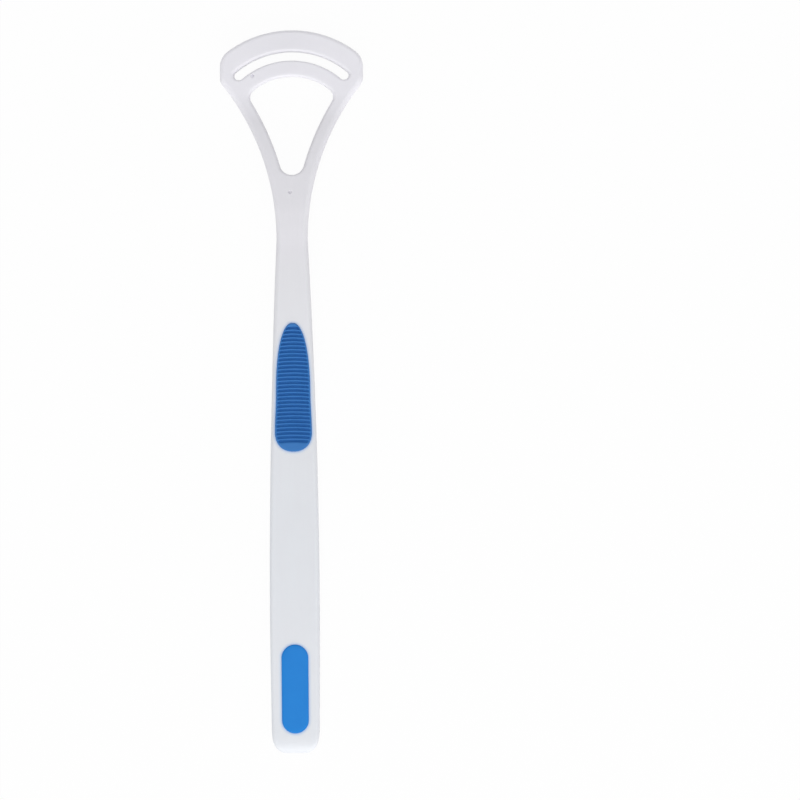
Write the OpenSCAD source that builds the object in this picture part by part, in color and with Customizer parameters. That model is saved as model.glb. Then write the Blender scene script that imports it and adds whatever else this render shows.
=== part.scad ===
// Tongue scraper: one moulded body, whose forked head carries two arched scraping bands, with a ribbed thumb
// grip and an end pad set into its handle. It lies on its underside, with the thumb side up. X runs across it,
// Y from the tail to the head and Z up. Places called y are distances from the tail.

/* [Handle] */
// Distance from the tail to the narrowest place of the neck
neck_y = 131; // [122:1:136]
// Distance from the tail to the widest place of the handle
belly_y = 36; // [30:1:45]
// Width of the handle at its widest place
handle_w = 12.6; // [11.6:0.1:16]
// Width of the handle beside its round tail
tail_w = 12.1; // [10.6:0.1:15]
// Width of the neck
neck_w = 7.9; // [6.6:0.1:10]
// Thickness of the handle at its widest place
handle_t = 6.6; // [5.8:0.1:9]
// Thickness of the handle beside its round tail
tail_t = 5.7; // [5:0.1:8]
// Thickness of the neck
neck_t = 4.2; // [3.4:0.1:5.4]
// Height of the neck's underside over the surface that the handle lies on
neck_rise = 3; // [2:0.1:4.5]
// Distance from the tail to the end of the flat underside
flat_y = 62; // [50:1:75]
// Depth of the thumb's hollow
hollow_depth = 0.6; // [0.2:0.1:1]
// Radius of the tail's corners, seen from above
tail_corner_r = 7; // [5:0.5:8]
// Radius of the tail's edge, seen from the side
tail_edge_r = 5; // [3:0.5:6]

/* [Head] */
// Distance from the tail to the middle of the bands' circles
arch_y = 157.7; // [155:0.1:161]
// Radius of the outer band's outer edge
arch_r = 27.3; // [26:0.1:30]
// Width of the outer band
outer_band_w = 5.5; // [4.5:0.1:6.5]
// Width of the slot between the bands
slot_w = 2.4; // [1.6:0.1:3.2]
// Width of the inner band
inner_band_w = 4; // [3.2:0.1:5]
// Radius of the head's outer corners
head_corner_r = 7.3; // [6:0.1:8.5]
// Thickness of the head
head_t = 2.4; // [1.8:0.1:3]
// Width of each arm of the fork
arm_w = 3.6; // [3:0.1:4.4]
// Radius of the arms' outer edges, which flare from the neck
flare_r = 65; // [60:0.5:70]
// Radius of the fork's crotch
crotch_r = 3.3; // [2.6:0.1:4]
// Radius of the window's upper corners
window_corner_r = 2.4; // [1.4:0.1:3]

/* [Scraping lips] */
// Height of the lips under the bands
lip_h = 1; // [0.5:0.1:1.5]
// Width of a lip's edge
lip_edge_w = 0.5; // [0.3:0.1:0.8]
// Width of a lip where it leaves its band
lip_root_w = 1.3; // [0.9:0.1:1.8]
// Distance from a band's inner edge to the middle of its lip
lip_inset = 1.5; // [1.2:0.1:2]
// Half of the angle that the lips turn through
lip_half_angle = 34; // [20:1:36]

/* [Thumb grip] */
// Distance from the tail to the grip's broad end
grip_y = 77.1; // [74:0.1:80]
// Length of the grip
grip_len = 32.7; // [32:0.1:36]
// Width of the grip at its broad end
grip_w = 9.4; // [7.5:0.1:9.8]
// Width of the grip where its narrow end starts to round
grip_waist_w = 8.7; // [7:0.1:9]
// Length over which the broad end rounds
grip_broad_len = 4.9; // [3:0.1:7]
// Length over which the narrow end rounds
grip_narrow_len = 17.8; // [10:0.1:20]
// Number of grooves
groove_count = 30; // [10:1:30]
// Distance from one groove to the next
groove_pitch = 0.99; // [0.8:0.01:1]
// Depth of the grooves
groove_depth = 0.35; // [0.1:0.05:0.5]
// Distance from the broad end to the first rib
rib_start = 2; // [1.2:0.1:2.2]
// How far the lowest ribs bow towards the head
rib_bow = 0.25; // [0:0.05:0.5]

/* [End pad] */
// Distance from the tail to the end pad
end_pad_y = 5.3; // [4.5:0.1:8]
// Length of the end pad
end_pad_len = 22.7; // [14:0.1:30]
// Width of the end pad
end_pad_w = 6.8; // [5:0.1:8]

/* [Seats of the pads] */
// Depth of both pads below the handle's surface
pad_depth = 1.2; // [0.8:0.1:1.5]
// Height of both pads over the handle's surface
pad_rise = 0.3; // [0.1:0.05:0.5]
// Clearance between a pad and its seat
seat_gap = 0.04; // [0.03:0.01:0.1]
// Diameter of the anchor posts under the pads
post_d = 2.2; // [1.4:0.1:3]
// Length of the anchor posts
post_len = 1.3; // [0.6:0.1:1.5]

/* [Hidden] */

$fs = 0.4;
// Extra length of a cut past the surface that it leaves through
overrun = 3;
// Exponents of the rounded outlines, where 2 is an ellipse and more is squarer
handle_power = 3.6;
bar_power = 2.6;
corner_power = 3;
edge_power = 2.2;
pad_edge_power = 8;
// Shares of a round end's length that its flat face cuts off, on the tail and on the pads
tail_flat_share = 0.035;
pad_flat_share = 0.01;
// Length over which the pads rise from their ends
pad_shoulder_len = 1.2;
// Depth that the flat underside takes off the rounded handle
flat_trim = 0.25;
// Length over which the neck bends into the plane of the head
bend_len = 8;
// Length over which the fork's root lies in the handle, and how far it is tucked in there
root_len = 4;
root_tuck = 0.6;
// Thickness of the handle's end inside the fork's root, as a share of the head's
root_t_share = 0.8;
// Length over which the hollow for the thumb fades out, as a share of the grip's length
hollow_share = 0.75;
// Places of the anchor posts, as shares of their pad's length
grip_post_shares = [0.2, 0.5, 0.8];
end_pad_post_shares = [0.25, 0.75];
// Points round a section of the handle and of a bar, and across a pad's top and its underside
handle_points = 28;
bar_points = 16;
pad_top_steps = 12;
pad_floor_steps = 4;
// Steps along each stretch
handle_steps = 30;
neck_steps = 8;
end_steps = 10;
arm_steps = 9;
turn_steps = 7;
band_steps = 9;
groove_steps = 4;

tip_y = arch_y + arch_r;
slot_outer_r = arch_r - outer_band_w;
slot_inner_r = slot_outer_r - slot_w;
window_r = slot_inner_r - inner_band_w;

// Middles of the circles that the right half of the head is drawn with
arch_c = [0, arch_y];
flare_c = [neck_w / 2 + flare_r, neck_y];
crotch_c = [0, neck_y + sqrt(pow(flare_r + arm_w + crotch_r, 2) - pow(flare_c.x, 2))];
corner_c = touching(flare_c, arch_c, flare_r + head_corner_r, arch_r - head_corner_r);
window_corner_c = touching(flare_c, arch_c, flare_r + arm_w + window_corner_r, window_r - window_corner_r);
slot_end_c = touching(flare_c, arch_c, flare_r + arm_w + slot_w / 2, (slot_outer_r + slot_inner_r) / 2);

// The handle ends inside the fork's root, under the rounded edge of the crotch
root_y = crotch_c.y - crotch_r - head_t / 2;
root_low_y = root_y - root_len;

// The head turns down about this place, so that the outer lip touches the surface that the handle lies on
pivot_y = neck_y + bend_len / 2;
pivot_z = neck_rise + neck_t / 2;
lip_drop = head_t / 2 + lip_h;
lip_reach = arch_y + slot_outer_r + lip_inset + lip_edge_w / 2 - pivot_y;
head_tilt = asin(pivot_z / norm([lip_reach, lip_drop])) - atan2(lip_drop, lip_reach);
part_len = pivot_y + (tip_y - pivot_y) * cos(head_tilt);

function mix(a, b, share) = a + (b - a) * share;
function ease(share) = let (u = max(0, min(1, share))) u * u * (3 - 2 * u);
function on_circle(middle, radius, angle) = middle + radius * [cos(angle), sin(angle)];
function angle_to(from, to) = atan2(to.y - from.y, to.x - from.x);
// Middle of a circle at the distances given from two other middles, on the right of the way from a to b
function touching(a, b, from_a, from_b) =
    let (
        apart = norm(b - a),
        way = (b - a) / apart,
        along = (from_a * from_a - from_b * from_b + apart * apart) / (2 * apart)
    )
    a + along * way + sqrt(from_a * from_a - along * along) * [way.y, -way.x];
// Share of the full width at a distance from a round end, whose tip is cut flat
function end_share(distance, length, power, flat_share) =
    let (d = distance + flat_share * length)
    d >= length ? 1 : pow(1 - pow(1 - d / length, power), 1 / power);
// Distances from a round end, closer together at its tip
function end_places(length) = [for (i = [0 : end_steps - 1]) length * (1 - cos(90 * i / end_steps))];
function backwards(list) = [for (i = [len(list) - 1 : -1 : 0]) list[i]];
// Point of a rounded outline, whose half width and half height are one
function rounded(angle, power) =
    let (c = cos(angle), s = sin(angle))
    [sign(c) * pow(abs(c), 2 / power), sign(s) * pow(abs(s), 2 / power)];

// Half width of the handle, which follows the flare of the arms past its neck
function half_w(y) =
    y < belly_y
        ? mix(tail_w, handle_w, ease(y / belly_y)) / 2
            * end_share(y, tail_corner_r, corner_power, tail_flat_share)
        : y < neck_y
            ? mix(handle_w, neck_w, pow((y - belly_y) / (neck_y - belly_y), 2)) / 2
            : flare_c.x - sqrt(pow(flare_r, 2) - pow(y - neck_y, 2)) - tuck((y - root_low_y) / root_len);
// The handle and the fork's root are each tucked inside the other, past the place where they cross
function tuck(share) = root_tuck * pow(max(0, share), 3);
function hollow(y) = hollow_depth * (1 - ease(abs(y - grip_y - grip_len / 2) / (grip_len * hollow_share)));
function thickness(y) =
    y < belly_y
        ? mix(tail_t, handle_t, ease(y / belly_y))
        : y < neck_y
            ? mix(handle_t, neck_t, ease((y - belly_y) / (neck_y - belly_y))) - hollow(y)
            : mix(neck_t, head_t * root_t_share, ease((y - neck_y) / (crotch_c.y - neck_y)));
function rise(y) = ease((y - flat_y) / (neck_y - flat_y));
function trim(y) = flat_trim * (1 - rise(y));
function half_t(y) = (thickness(y) + trim(y)) / 2 * end_share(y, tail_edge_r, edge_power, tail_flat_share);
// Height of the handle's middle, which bends into the plane of the head past the neck
function middle_z(y) =
    let (run = y - neck_y)
    run < 0
        ? neck_rise * rise(y) + (thickness(y) - trim(y)) / 2
        : pivot_z - tan(head_tilt) * (run < bend_len ? run * run / (2 * bend_len) : run - bend_len / 2);
function surface_z(x, y) =
    middle_z(y) + half_t(y) * pow(max(0, 1 - pow(abs(x) / half_w(y), handle_power)), 1 / handle_power);

// Half widths of the pads, at a distance from their lower ends
grip_half_w = function (d)
    let (waist = (d - grip_broad_len) / (grip_len - grip_broad_len - grip_narrow_len))
    mix(grip_w, grip_waist_w, ease(waist)) / 2
        * end_share(d, grip_broad_len, edge_power, pad_flat_share)
        * end_share(grip_len - d, grip_narrow_len, edge_power, pad_flat_share);
end_pad_half_w = function (d)
    end_pad_w / 2
        * end_share(d, end_pad_w / 2, 2, pad_flat_share)
        * end_share(end_pad_len - d, end_pad_w / 2, 2, pad_flat_share);

// Height of a pad over the handle's surface, where across is 1 at its sides and along is 0 at its ends
function swell(across, along) =
    pad_rise
        * pow(1 - pow(abs(across), pad_edge_power), 1 / pad_edge_power)
        * end_share(along, pad_shoulder_len, 2, pad_flat_share);
grip_top = function (d, across)
    let (groove = (d - rib_start) / groove_pitch, depth = across * across < 1 ? groove_depth : 0)
    swell(across, min(d, grip_len - d))
        - (groove > 0 && groove < groove_count ? depth * (1 - cos(360 * groove)) / 2 : 0);
end_pad_top = function (d, across) swell(across, min(d, end_pad_len - d));
seat_top = function (d, across) overrun;
grip_bow = function (d, across)
    rib_bow * (1 - across * across) * (1 - d / grip_len) * ease(d / rib_start);
no_bow = function (d, across) 0;

grip_end = rib_start + groove_count * groove_pitch;
grip_places = concat(
    [for (d = end_places(rib_start)) d],
    [for (i = [0 : groove_count * groove_steps - 1]) rib_start + i * groove_pitch / groove_steps],
    [for (d = backwards(end_places(grip_len - grip_end))) grip_len - d]
);
grip_seat_places = concat(
    end_places(grip_broad_len),
    [for (i = [0 : end_steps]) mix(grip_broad_len, grip_len - grip_narrow_len, i / end_steps)],
    [for (d = backwards(end_places(grip_narrow_len))) grip_len - d]
);
end_pad_places = concat(
    end_places(end_pad_w / 2),
    [for (i = [0 : end_steps]) mix(end_pad_w / 2, end_pad_len - end_pad_w / 2, i / end_steps)],
    [for (d = backwards(end_places(end_pad_w / 2))) end_pad_len - d]
);

// The head is drawn as pairs of points, on the inner and the outer edge of a bar
arm_low = angle_to(flare_c, crotch_c);
arm_top = angle_to(flare_c, corner_c);
band_low = angle_to(arch_c, corner_c);
slot_end = angle_to(arch_c, slot_end_c);
root_low = 180 - asin((root_low_y - neck_y) / flare_r);
fork_side = concat(
    [[crotch_c - [0, crotch_r], [0, root_low_y]]],
    [for (i = [1 : turn_steps - 1]) let (share = i / turn_steps) [
        on_circle(crotch_c, crotch_r, mix(-90, arm_low - 180, share)),
        on_circle(flare_c, flare_r + tuck(1 - share), mix(root_low, arm_low, share))
    ]],
    [for (i = [0 : arm_steps - 1]) let (angle = mix(arm_low, arm_top, i / arm_steps)) [
        on_circle(flare_c, flare_r + arm_w, angle),
        on_circle(flare_c, flare_r, angle)
    ]],
    [for (i = [0 : turn_steps - 1]) let (share = i / turn_steps) [
        on_circle(slot_end_c, slot_w / 2, mix(arm_top - 180, slot_end, share)),
        on_circle(corner_c, head_corner_r, mix(arm_top - 180, band_low, share))
    ]],
    [for (i = [0 : band_steps]) let (share = i / band_steps) [
        on_circle(arch_c, slot_outer_r, mix(slot_end, 90, share)),
        on_circle(arch_c, arch_r, mix(band_low, 90, share))
    ]]
);
window_top = angle_to(arch_c, window_corner_c);
window_low = angle_to(flare_c, window_corner_c) - 180;
inner_side = concat(
    [for (i = [0 : band_steps - 1]) let (share = i / band_steps) [
        on_circle(arch_c, window_r, mix(90, window_top, share)),
        on_circle(arch_c, slot_inner_r, mix(90, slot_end, share))
    ]],
    [for (i = [0 : turn_steps]) let (share = i / turn_steps) [
        on_circle(window_corner_c, window_corner_r, mix(window_top, window_low, share)),
        on_circle(arch_c, slot_inner_r, slot_end - share * arm_w / 2 / slot_inner_r * 180 / PI)
    ]]
);
function mirrored(pair) = [for (point = pair) [-point.x, point.y]];

// Skin through rings of equally many points, which is closed on itself or has capped ends
module skin(rings, closed = false) {
    n = len(rings[0]);
    count = len(rings);
    sides = [
        for (i = [0 : closed ? count - 1 : count - 2], k = [0 : n - 1])
            let (here = i * n, next = (i + 1) % count * n, turn = (k + 1) % n)
            each [[here + k, here + turn, next + k], [here + turn, next + turn, next + k]]
    ];
    caps = [[for (k = [n - 1 : -1 : 0]) k], [for (k = [0 : n - 1]) (count - 1) * n + k]];
    polyhedron(points = [for (ring = rings) each ring], faces = closed ? sides : concat(sides, caps));
}

// Handle, neck and the root of the fork
module handle() {
    places = concat(
        end_places(tail_corner_r),
        [for (i = [0 : handle_steps - 1]) mix(tail_corner_r, neck_y, i / handle_steps)],
        [for (i = [0 : neck_steps]) mix(neck_y, root_y, i / neck_steps)]
    );
    skin([for (y = places) [
        for (k = [0 : handle_points - 1])
            let (point = rounded(360 * k / handle_points, handle_power))
            [half_w(y) * point.x, y, middle_z(y) + half_t(y) * point.y]
    ]]);
}

// Bar with rounded edges between the pairs of points given, in the plane of the head
module bar(pairs, closed = false) {
    skin([for (pair = pairs) [
        for (k = [0 : bar_points - 1])
            let (
                point = rounded(360 * k / bar_points, bar_power),
                place = mix(pair[0], pair[1], (1 + point.x) / 2)
            )
            [place.x, place.y, head_t / 2 * point.y]
    ]], closed);
}

// Scraping lip under the band whose inner edge has the radius given
module lip(band_r) {
    translate([0, arch_y, 0]) rotate_extrude(angle = 2 * lip_half_angle, start = 90 - lip_half_angle, $fn = 90)
        translate([band_r + lip_inset, 0]) polygon([
            [-lip_root_w / 2, 0],
            [-lip_root_w / 2, -head_t / 2],
            [-lip_edge_w / 2, -lip_drop],
            [lip_edge_w / 2, -lip_drop],
            [lip_root_w / 2, -head_t / 2],
            [lip_root_w / 2, 0]
        ]);
}

module head() {
    last = len(fork_side) - 1;
    translate([0, pivot_y, pivot_z]) rotate([-head_tilt, 0, 0]) translate([0, -pivot_y, 0]) {
        bar(concat(fork_side, [for (i = [last - 1 : -1 : 1]) mirrored(fork_side[i])]), closed = true);
        bar(concat(backwards(inner_side), [for (i = [1 : len(inner_side) - 1]) mirrored(inner_side[i])]));
        lip(slot_outer_r);
        lip(window_r);
    }
}

// Solid that follows the handle's surface, and its anchor posts: a pad, or with a gap the seat for one
module pad(pad_y, places, half_w, top, bow, post_shares, gap = 0) {
    length = places[len(places) - 1];
    function at(d, across, height) =
        let (x = across * (half_w(d) + gap), y = pad_y + d + gap * (2 * d / length - 1))
        [x, y, surface_z(x, y) + height];
    skin([for (d = places) [
        each [for (k = [0 : pad_top_steps])
            let (across = 1 - 2 * k / pad_top_steps)
            at(d, across, top(d, across)) + [0, bow(d, across), 0]],
        each [for (k = [0 : pad_floor_steps])
            at(d, 2 * k / pad_floor_steps - 1, -pad_depth - gap)]
    ]]);
    for (share = post_shares)
        let (y = pad_y + share * length)
        translate([0, y, surface_z(0, y) - pad_depth - post_len - gap])
            cylinder(d = post_d + 2 * gap, h = post_len + pad_depth / 2 + gap);
}

module body() color("whitesmoke") {
    translate([0, -part_len / 2, 0]) difference() {
        union() {
            handle();
            head();
        }
        translate([-handle_w, 0, -overrun]) cube([2 * handle_w, part_len, overrun]);
        pad(grip_y, grip_seat_places, grip_half_w, seat_top, no_bow, grip_post_shares, seat_gap);
        pad(end_pad_y, end_pad_places, end_pad_half_w, seat_top, no_bow, end_pad_post_shares, seat_gap);
    }
}

module thumb_grip() color([0.22, 0.42, 0.67]) {
    translate([0, -part_len / 2, 0])
        pad(grip_y, grip_places, grip_half_w, grip_top, grip_bow, grip_post_shares);
}

module end_pad() color([0.18, 0.51, 0.84]) {
    translate([0, -part_len / 2, 0])
        pad(end_pad_y, end_pad_places, end_pad_half_w, end_pad_top, no_bow, end_pad_post_shares);
}

body();
thumb_grip();
end_pad();
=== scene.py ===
"""Visual model of a flat tongue scraper: a white moulded body with a forked head, a ribbed soft thumb grip
and a plain soft end pad.

Pieces are modelled in millimetres, with Y measured from the tail's end, and are brought into the frame's
metres when they are finished.
"""
from __future__ import annotations

import bisect
import logging
import math
from dataclasses import dataclass
from enum import Enum
from typing import Any, Callable

import bmesh
import bpy
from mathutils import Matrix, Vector

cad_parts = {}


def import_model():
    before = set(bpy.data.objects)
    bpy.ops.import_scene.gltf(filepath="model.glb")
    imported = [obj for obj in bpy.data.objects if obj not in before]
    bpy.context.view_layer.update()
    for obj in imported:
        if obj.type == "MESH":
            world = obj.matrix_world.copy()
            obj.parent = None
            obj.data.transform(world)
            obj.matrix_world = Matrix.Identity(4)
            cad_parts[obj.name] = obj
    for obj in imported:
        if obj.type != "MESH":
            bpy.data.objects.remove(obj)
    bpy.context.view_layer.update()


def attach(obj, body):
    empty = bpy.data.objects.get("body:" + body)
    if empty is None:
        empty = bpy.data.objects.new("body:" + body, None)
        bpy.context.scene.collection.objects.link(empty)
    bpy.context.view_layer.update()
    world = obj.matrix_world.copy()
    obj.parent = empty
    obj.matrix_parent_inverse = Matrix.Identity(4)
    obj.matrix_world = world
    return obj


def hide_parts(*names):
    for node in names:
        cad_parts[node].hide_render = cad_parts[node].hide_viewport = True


LOG = logging.getLogger("tongue_scraper")

MM = 0.001            # metres
NEAR = 0.002          # millimetres within which points are merged
CHORD_ERROR = 0.003   # millimetres between an arc and its straight edges
TOOL_REACH = 2.0      # millimetres that a cutting tool stands above the surface
BUMP_DEPTH = 0.00003  # metres
WHITE = (1.0, 1.0, 1.0, 1.0)

Point = tuple[float, float]
Place = tuple[float, float, float]
Colour = tuple[float, float, float, float]
Shape = Callable[[float], float]


# Small sums

def mix(low: float, high: float, share: float) -> float:
    """Value that lies at the share given between two others."""
    return low + (high - low) * share


def ease(share: float) -> float:
    """Share from 0 to 1 that starts and ends gently."""
    held = min(max(share, 0.0), 1.0)
    return held * held * (3.0 - 2.0 * held)


def end_share(distance: float, length: float, power: float, flat: float) -> float:
    """Share of the full size near a rounded end.

    Args:
        distance: Distance from the very end.
        length: Length over which the end is rounded.
        power: Exponent of the rounding, where 2 is an ellipse.
        flat: Share of the length that is cut off flat at the very end.

    Returns:
        A share between 0 and 1.
    """
    place = max(distance, 0.0) + flat * length
    if place >= length:
        return 1.0
    return (1.0 - (1.0 - place / length) ** power) ** (1.0 / power)


def angle_to(centre: Point, point: Point) -> float:
    """Direction in degrees from one point to another."""
    return math.degrees(math.atan2(point[1] - centre[1], point[0] - centre[0]))


def on_circle(centre: Point, radius: float, angle: float) -> Point:
    """Point of a circle at an angle in degrees."""
    turn = math.radians(angle)
    return centre[0] + radius * math.cos(turn), centre[1] + radius * math.sin(turn)


def deselect() -> None:
    """Leaves nothing selected, the frame's own nodes included."""
    bpy.ops.object.select_all(action="DESELECT")


def pull(x: float, y: float, z: float) -> None:
    """Extrudes what is selected by a move."""
    bpy.ops.mesh.extrude_region_move(TRANSFORM_OT_translate={"value": (x, y, z)})


def stretch(x: float, y: float, z: float, centre: Place) -> None:
    """Scales what is selected about a centre."""
    bpy.ops.transform.resize(value=(x, y, z), center_override=centre)


# Modelling bench

class Bench:
    """One mesh that is being modelled in edit mode, in millimetres."""

    def __init__(self, name: str, x: float, y: float, z: float = 0.0) -> None:
        """Starts a mesh as a single point.

        Args:
            name: Name of the object and its mesh.
            x: Place of the first point across the handle.
            y: Place of the first point along the handle.
            z: Height of the first point.
        """
        deselect()
        bpy.ops.mesh.primitive_plane_add(size=1.0, location=(x, y, z))
        self.obj = bpy.context.object
        self.obj.name = self.obj.data.name = name
        bpy.ops.object.transform_apply(location=True, rotation=True, scale=True)
        bpy.ops.object.mode_set(mode="EDIT")
        bpy.ops.mesh.select_all(action="SELECT")
        bpy.ops.mesh.merge(type="CENTER")
        self.pen = Vector((x, y, z))

    # Drawing

    def line_to(self, x: float, y: float, z: float | None = None) -> None:
        """Draws a straight edge from the pen's place.

        Args:
            x: Place of the edge's end across the handle.
            y: Place of the edge's end along the handle.
            z: Height of the edge's end, or None to stay level.
        """
        target = Vector((x, y, self.pen.z if z is None else z))
        pull(*(target - self.pen))
        self.pen = target

    def arc(self, centre: Point, sweep: float) -> list[float]:
        """Draws an arc from the pen's place.

        Args:
            centre: Centre of the arc.
            sweep: Angle in degrees, positive to the left.

        Returns:
            The places of the arc's points along the handle.
        """
        radius = math.dist(centre, self.pen.xy)
        start = angle_to(centre, (self.pen.x, self.pen.y))
        step = math.degrees(2.0 * math.acos(1.0 - CHORD_ERROR / radius))
        steps = max(3, math.ceil(abs(sweep) / step))
        bpy.ops.mesh.spin(steps=steps, angle=math.radians(-sweep), center=(*centre, self.pen.z), axis=(0, 0, 1))
        places = [on_circle(centre, radius, start + sweep * index / steps)[1] for index in range(steps + 1)]
        self.pen = Vector((*on_circle(centre, radius, start + sweep), self.pen.z))
        return places

    def close(self) -> None:
        """Joins the last point to the first and fills the outline with one face."""
        bpy.ops.mesh.select_all(action="SELECT")
        bpy.ops.mesh.remove_doubles(threshold=NEAR)
        if self.pick("verts", lambda vert: abs(vert.co.x) < NEAR):
            stretch(0.0, 1.0, 1.0, (0.0, 0.0, 0.0))
        bpy.ops.mesh.select_all(action="SELECT")
        bpy.ops.mesh.edge_face_add()

    # Selecting

    def pick(self, kind: str, wanted: Callable[[Any], bool]) -> int:
        """Selects elements by their place or normal.

        Args:
            kind: Which elements are looked at: verts, edges or faces.
            wanted: Says whether an element is to be selected.

        Returns:
            The number of selected elements.
        """
        bpy.ops.mesh.select_all(action="DESELECT")
        bpy.ops.mesh.select_mode(type={"verts": "VERT", "edges": "EDGE", "faces": "FACE"}[kind])
        mesh = bmesh.from_edit_mesh(self.obj.data)
        mesh.normal_update()
        count = 0
        for element in getattr(mesh, kind):
            if wanted(element):
                element.select_set(True)
                count += 1
        mesh.select_flush_mode()
        bmesh.update_edit_mesh(self.obj.data)
        return count

    # Shaping

    def cut_rows(self, rows: list[float]) -> None:
        """Cuts the mesh across at each place given along the handle."""
        for row in rows:
            bpy.ops.mesh.select_all(action="SELECT")
            bpy.ops.mesh.bisect(plane_co=(0.0, row, 0.0), plane_no=(0.0, 1.0, 0.0), threshold=NEAR)

    def thicken(self, height: float) -> None:
        """Pulls the flat outline up into a closed plate of the height given."""
        bpy.ops.mesh.select_all(action="SELECT")
        pull(0.0, 0.0, height)
        bpy.ops.mesh.select_all(action="SELECT")
        bpy.ops.mesh.normals_make_consistent(inside=False)

    def resume(self) -> None:
        """Takes the mesh back into edit mode."""
        choose(self.obj)
        bpy.ops.object.mode_set(mode="EDIT")

    def leave(self) -> bpy.types.Object:
        """Leaves edit mode with merged doubles and outward normals.

        Returns:
            The finished object.
        """
        bpy.ops.mesh.select_mode(type="VERT")
        bpy.ops.mesh.select_all(action="SELECT")
        bpy.ops.mesh.remove_doubles(threshold=NEAR)
        bpy.ops.mesh.select_all(action="SELECT")
        bpy.ops.mesh.normals_make_consistent(inside=False)
        bpy.ops.mesh.select_all(action="DESELECT")
        bpy.ops.object.mode_set(mode="OBJECT")
        return self.obj

    def leave_mirrored(self) -> bpy.types.Object:
        """Opens a half at the middle plane, leaves edit mode and mirrors it.

        Returns:
            The whole object.
        """
        self.pick("faces", lambda face: all(abs(vert.co.x) < NEAR for vert in face.verts))
        bpy.ops.mesh.delete(type="FACE")
        apply_modifier(self.leave(), "MIRROR", use_clip=True, merge_threshold=NEAR)
        return self.obj


def choose(obj: bpy.types.Object) -> None:
    """Makes an object the only selected one, and the active one."""
    deselect()
    obj.select_set(True)
    bpy.context.view_layer.objects.active = obj


def apply_modifier(obj: bpy.types.Object, kind: str, **settings: Any) -> None:
    """Adds a modifier to an object and applies it.

    Args:
        obj: Object that gets the modifier.
        kind: Blender's type of modifier.
        settings: Values of the modifier.
    """
    choose(obj)
    modifier = obj.modifiers.new(kind.title(), kind)
    for key, value in settings.items():
        setattr(modifier, key, value)
    bpy.ops.object.modifier_apply(modifier=modifier.name)


def remove(obj: bpy.types.Object) -> None:
    """Deletes a helper object."""
    choose(obj)
    bpy.ops.object.delete()


def combine(obj: bpy.types.Object, tool: bpy.types.Object, operation: str) -> None:
    """Cuts a tool out of an object or joins it on, and deletes the tool.

    Args:
        obj: Object that is worked on.
        tool: Object that cuts or is joined.
        operation: DIFFERENCE or UNION.
    """
    apply_modifier(obj, "BOOLEAN", operation=operation, solver="EXACT", object=tool)
    remove(tool)


def coat(piece: bpy.types.Object, material: bpy.types.Material) -> None:
    """Gives a finished piece its only material."""
    piece.data.materials.clear()
    piece.data.materials.append(material)


@dataclass(frozen=True)
class Carrier:
    """Lattice that bends work along the handle, by two heights that it reads off the body's side view."""

    low: Shape
    high: Shape
    along: Shape
    start: float = -6.0
    end: float = 192.0
    roof: float = 1.0
    points: int = 64
    half_width: float = 30.0

    def bend(self, obj: bpy.types.Object) -> None:
        """Carries height 0 and the roof to the low and high lines, and shifts the work along the handle."""
        deselect()
        span = self.end - self.start
        middle = (self.start + self.end) / 2.0
        bpy.ops.object.add(type="LATTICE", location=(0.0, middle, self.roof / 2.0))
        cage = bpy.context.object
        cage.scale = (2.0 * self.half_width, span, self.roof)
        lattice = cage.data
        lattice.points_u, lattice.points_v, lattice.points_w = 2, self.points, 2
        lattice.interpolation_type_u = lattice.interpolation_type_w = "KEY_LINEAR"
        lattice.interpolation_type_v = "KEY_CATMULL_ROM"
        for point in lattice.points:
            place = point.co.y * span + middle
            height = self.high(place) if point.co.z > 0.0 else self.low(place)
            point.co_deform = (point.co.x, (self.along(place) - middle) / span, height / self.roof - 0.5)
        apply_modifier(obj, "LATTICE", object=cage)
        remove(cage)


# Materials

class Sock:
    """A shader socket or number that can be used in sums."""

    def __init__(self, graph: "Graph", socket: Any) -> None:
        """Wraps a socket of the graph given."""
        self.graph = graph
        self.socket = socket

    def _sum(self, operation: str, left: Any, right: Any) -> "Sock":
        """Adds one Math node for two values."""
        return self.graph.node("ShaderNodeMath", {"operation": operation}, {0: left, 1: right})

    def __abs__(self) -> "Sock":
        """Size of the value."""
        return self._sum("ABSOLUTE", self, 0.0)

    def __pow__(self, other: Any) -> "Sock":
        """Power of the value."""
        return self._sum("POWER", self, other)

    def __truediv__(self, other: Any) -> "Sock":
        """This value shared by another."""
        return self._sum("DIVIDE", self, other)

    def __add__(self, other: Any) -> "Sock":
        """Sum with another value."""
        return self._sum("ADD", self, other)

    __radd__ = __add__

    def __mul__(self, other: Any) -> "Sock":
        """Product with another value."""
        return self._sum("MULTIPLY", self, other)

    __rmul__ = __mul__

    def __sub__(self, other: Any) -> "Sock":
        """This value less another."""
        return self._sum("SUBTRACT", self, other)

    def __rsub__(self, other: Any) -> "Sock":
        """Another value less this one."""
        return self._sum("SUBTRACT", other, self)


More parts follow.
